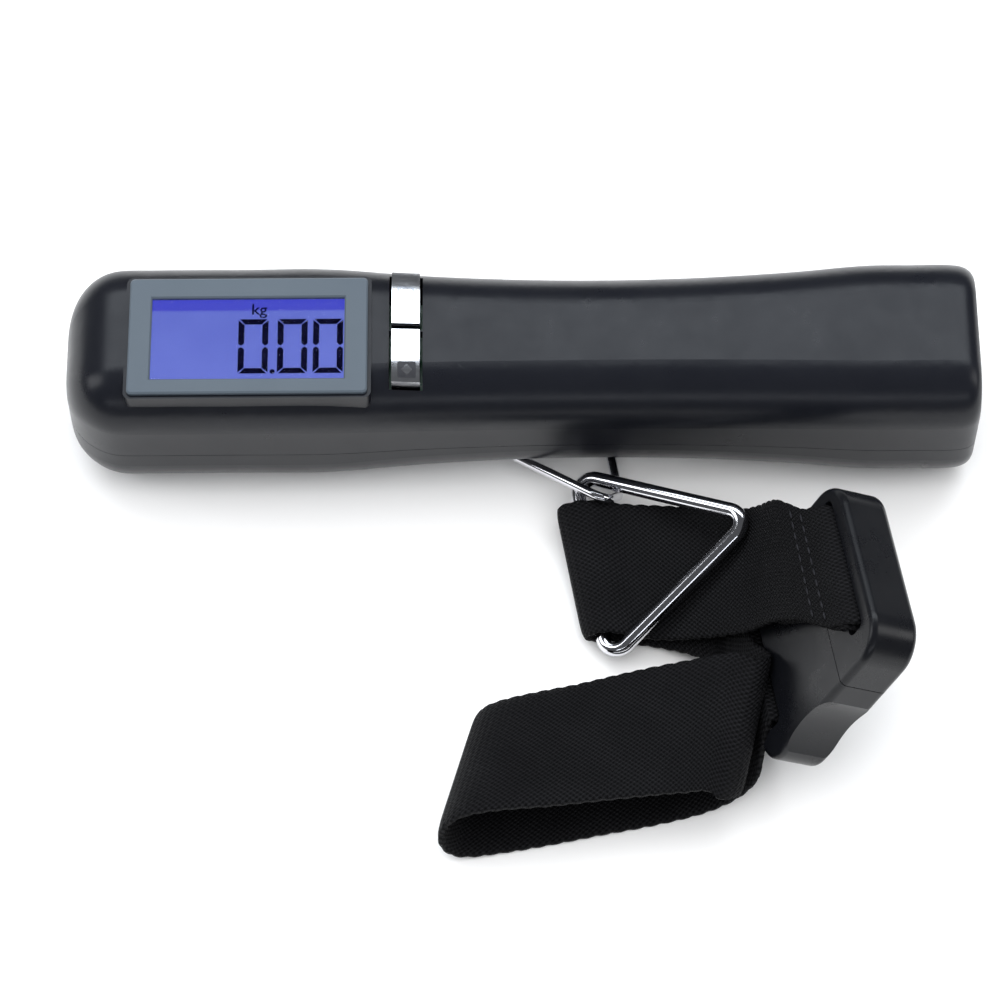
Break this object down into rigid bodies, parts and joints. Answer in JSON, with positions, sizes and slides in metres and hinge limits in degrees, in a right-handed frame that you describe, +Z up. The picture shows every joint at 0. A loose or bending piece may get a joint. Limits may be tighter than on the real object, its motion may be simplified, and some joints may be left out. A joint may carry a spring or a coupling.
{
  "type": "digital luggage scale",
  "caption": "Handheld luggage scale: waisted handle with backlit display and two buttons, wire ring on a load hook, triangular link, and a webbing loop closed by a side-release buckle.",
  "frame": {"origin": "middle of the handle's length and width, on the surface that the handle rests on", "axes": "+X along the handle away from the display end, +Y to the handle's far side from the webbing, +Z up through the display"},
  "size_m": [0.1499, 0.0962, 0.0399],
  "materials": {
    "shell_plastic": "satin",
    "bezel_plastic": "satin",
    "window_clear": "gloss",
    "lcd": "backlit blue",
    "light_guide": "diffuse",
    "chrome": "polished",
    "steel": "zinc plated",
    "aluminium": "milled",
    "circuit": "solder mask",
    "chip": "moulded",
    "rubber": "matt",
    "gauge_film": "film",
    "contact_brass": "stamped",
    "webbing": "ribbed weave",
    "buckle_plastic": "satin"
  },
  "bodies": {
    "handle": {"upper_shell": "shell_plastic", "lower_shell": "shell_plastic", "shell_screws": "steel", "display_bezel": "bezel_plastic", "display_window": "window_clear", "lcd_glass": "lcd", "backlight_guide": "light_guide", "contact_strips": "rubber", "circuit_board": "circuit", "controller_chip": "chip", "converter_chip": "chip", "timing_crystal": "steel", "board_screws": "steel", "tact_switches": "chip", "coin_cell": "steel", "battery_contact_plus": "contact_brass", "battery_contact_minus": "contact_brass", "load_cell": "aluminium", "load_cell_bracket": "steel", "strain_gauges": "gauge_film", "load_cell_screws": "steel", "hook_screw": "steel", "load_hook": "steel"},
    "power_button": {"power_button": "chrome"},
    "unit_button": {"unit_button": "chrome"},
    "battery_cover": {"battery_cover": "shell_plastic"},
    "small_ring": {"small_ring": "chrome"},
    "link": {"link": "chrome"},
    "strap": {"webbing_upper_run": "webbing", "webbing_link_fold": "webbing", "webbing_under_run": "webbing", "webbing_side_turn": "webbing", "webbing_loop_top": "webbing", "webbing_loop_end": "webbing", "webbing_loop_floor": "webbing", "buckle_female": "buckle_plastic"},
    "buckle_male": {"buckle_male": "buckle_plastic"}
  },
  "joints": [
    {"name": "power_button_press", "type": "slide", "parent": "handle", "child": "power_button", "axis": [0, 0, -1], "range_m": [0, 0.0006], "stiffness_N_per_m": 350},
    {"name": "unit_button_press", "type": "slide", "parent": "handle", "child": "unit_button", "axis": [0, 0, -1], "range_m": [0, 0.0006], "stiffness_N_per_m": 350},
    {"name": "battery_cover_pull", "type": "slide", "parent": "handle", "child": "battery_cover", "axis": [0, 0, -1], "range_m": [0, 0.012]},
    {"name": "small_ring_swing", "type": "hinge", "parent": "handle", "child": "small_ring", "pos_m": [0.0035, -0.001, 0.0029], "axis": [0.8387, 0.5446, 0], "range_deg": [0, 95]},
    {"name": "link_swing", "type": "hinge", "parent": "small_ring", "child": "link", "pos_m": [0.0152, -0.01935, 0.0062], "axis": [0.2688, 0.5265, -0.8065], "range_deg": [0, 12]},
    {"name": "strap_swing", "type": "hinge", "parent": "link", "child": "strap", "pos_m": [0.01141, -0.03112, 0.00398], "axis": [-0.1464, 0.9852, 0.0889], "range_deg": [0, 30]},
    {"name": "buckle_pull", "type": "slide", "parent": "strap", "child": "buckle_male", "axis": [0.4569, 0.2327, 0.8586], "range_m": [0, 0.014]}
  ]
}
